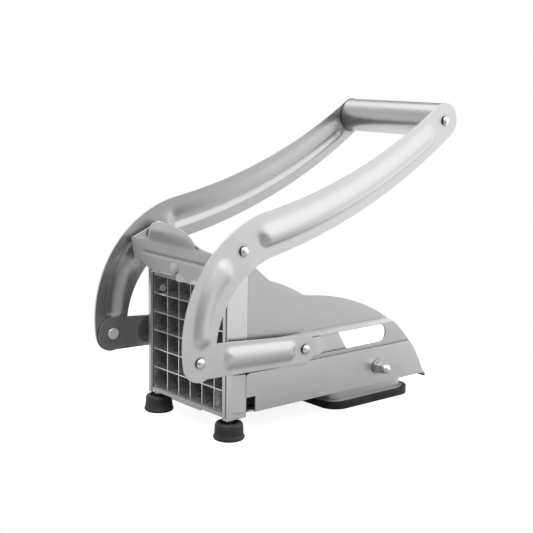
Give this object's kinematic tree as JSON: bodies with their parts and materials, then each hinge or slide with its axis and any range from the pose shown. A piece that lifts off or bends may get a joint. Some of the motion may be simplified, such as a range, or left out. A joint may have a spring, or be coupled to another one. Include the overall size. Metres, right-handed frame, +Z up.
{
  "type": "french fry cutter",
  "caption": "Lever french fry cutter: two bent arms on a sheet steel body draw a pegged pusher through a square blade grid, on rubber feet.",
  "frame": {"origin": "on the table, under the middle of the cutter's length, at its middle plane", "axes": "+X to the right of someone who faces the back from the blades, +Y from the blades to the back, +Z up"},
  "size_m": [0.115, 0.239, 0.208],
  "materials": {
    "sheet_steel": "satin stainless sheet",
    "blade_steel": "ground and bright",
    "tube_steel": "brushed lengthways",
    "fastener_steel": "bright",
    "block_steel": "satin",
    "foot_rubber": "moulded, matt",
    "pusher_plastic": "moulded, matt",
    "plug_plastic": "moulded"
  },
  "bodies": {
    "root": {"post_right": "sheet_steel", "post_left": "sheet_steel", "front_sill": "sheet_steel", "blade_frame": "blade_steel", "blades_upright": "blade_steel", "blades_level": "blade_steel", "frame_rivets": "fastener_steel", "side_plate_right": "sheet_steel", "side_plate_left": "sheet_steel", "base_channel": "sheet_steel", "front_foot_right": "foot_rubber", "front_foot_left": "foot_rubber", "foot_screws": "fastener_steel", "foot_nuts": "fastener_steel", "rear_foot_pan": "sheet_steel", "rear_pad": "foot_rubber", "cross_bolt": "fastener_steel", "pan_spacers": "fastener_steel", "bolt_washers": "fastener_steel", "cap_nuts": "fastener_steel", "fulcrum_pins": "fastener_steel", "fulcrum_bushes": "fastener_steel"},
    "handle": {"arm_right": "sheet_steel", "arm_left": "sheet_steel", "arm_pins": "fastener_steel", "grip_tube": "tube_steel", "grip_plugs": "plug_plastic", "grip_rod": "fastener_steel"},
    "links": {"link_right": "sheet_steel", "link_left": "sheet_steel", "link_pins": "fastener_steel"},
    "pusher": {"pusher_head": "pusher_plastic", "pusher_carriage": "sheet_steel", "head_screws": "fastener_steel", "slide_block_right": "block_steel", "slide_block_left": "block_steel", "slide_pins": "fastener_steel"},
    "clamp": {"blade_clamp": "sheet_steel"}
  },
  "joints": [
    {"name": "handle_swing", "type": "hinge", "parent": "root", "child": "handle", "pos_m": [0, -0.0742, 0.1208], "axis": [1, 0, 0], "range_deg": [-10, 47]},
    {"name": "pusher_travel", "type": "slide", "parent": "root", "child": "pusher", "axis": [0, 1, 0], "range_m": [-0.01219, 0.0573]},
    {"name": "link_swing", "type": "hinge", "parent": "pusher", "child": "links", "pos_m": [0, -0.02067, 0.0513], "axis": [1, 0, 0], "range_deg": [-1.13, 5.31]},
    {"name": "clamp_swing", "type": "hinge", "parent": "root", "child": "clamp", "pos_m": [0, -0.0742, 0.1208], "axis": [1, 0, 0], "range_deg": [-70, 0]}
  ],
  "couplings": [
    {"joint": "pusher_travel", "follows": "handle_swing", "m_per_rad": 0.06985},
    {"joint": "link_swing", "follows": "handle_swing", "ratio": 0.113}
  ]
}
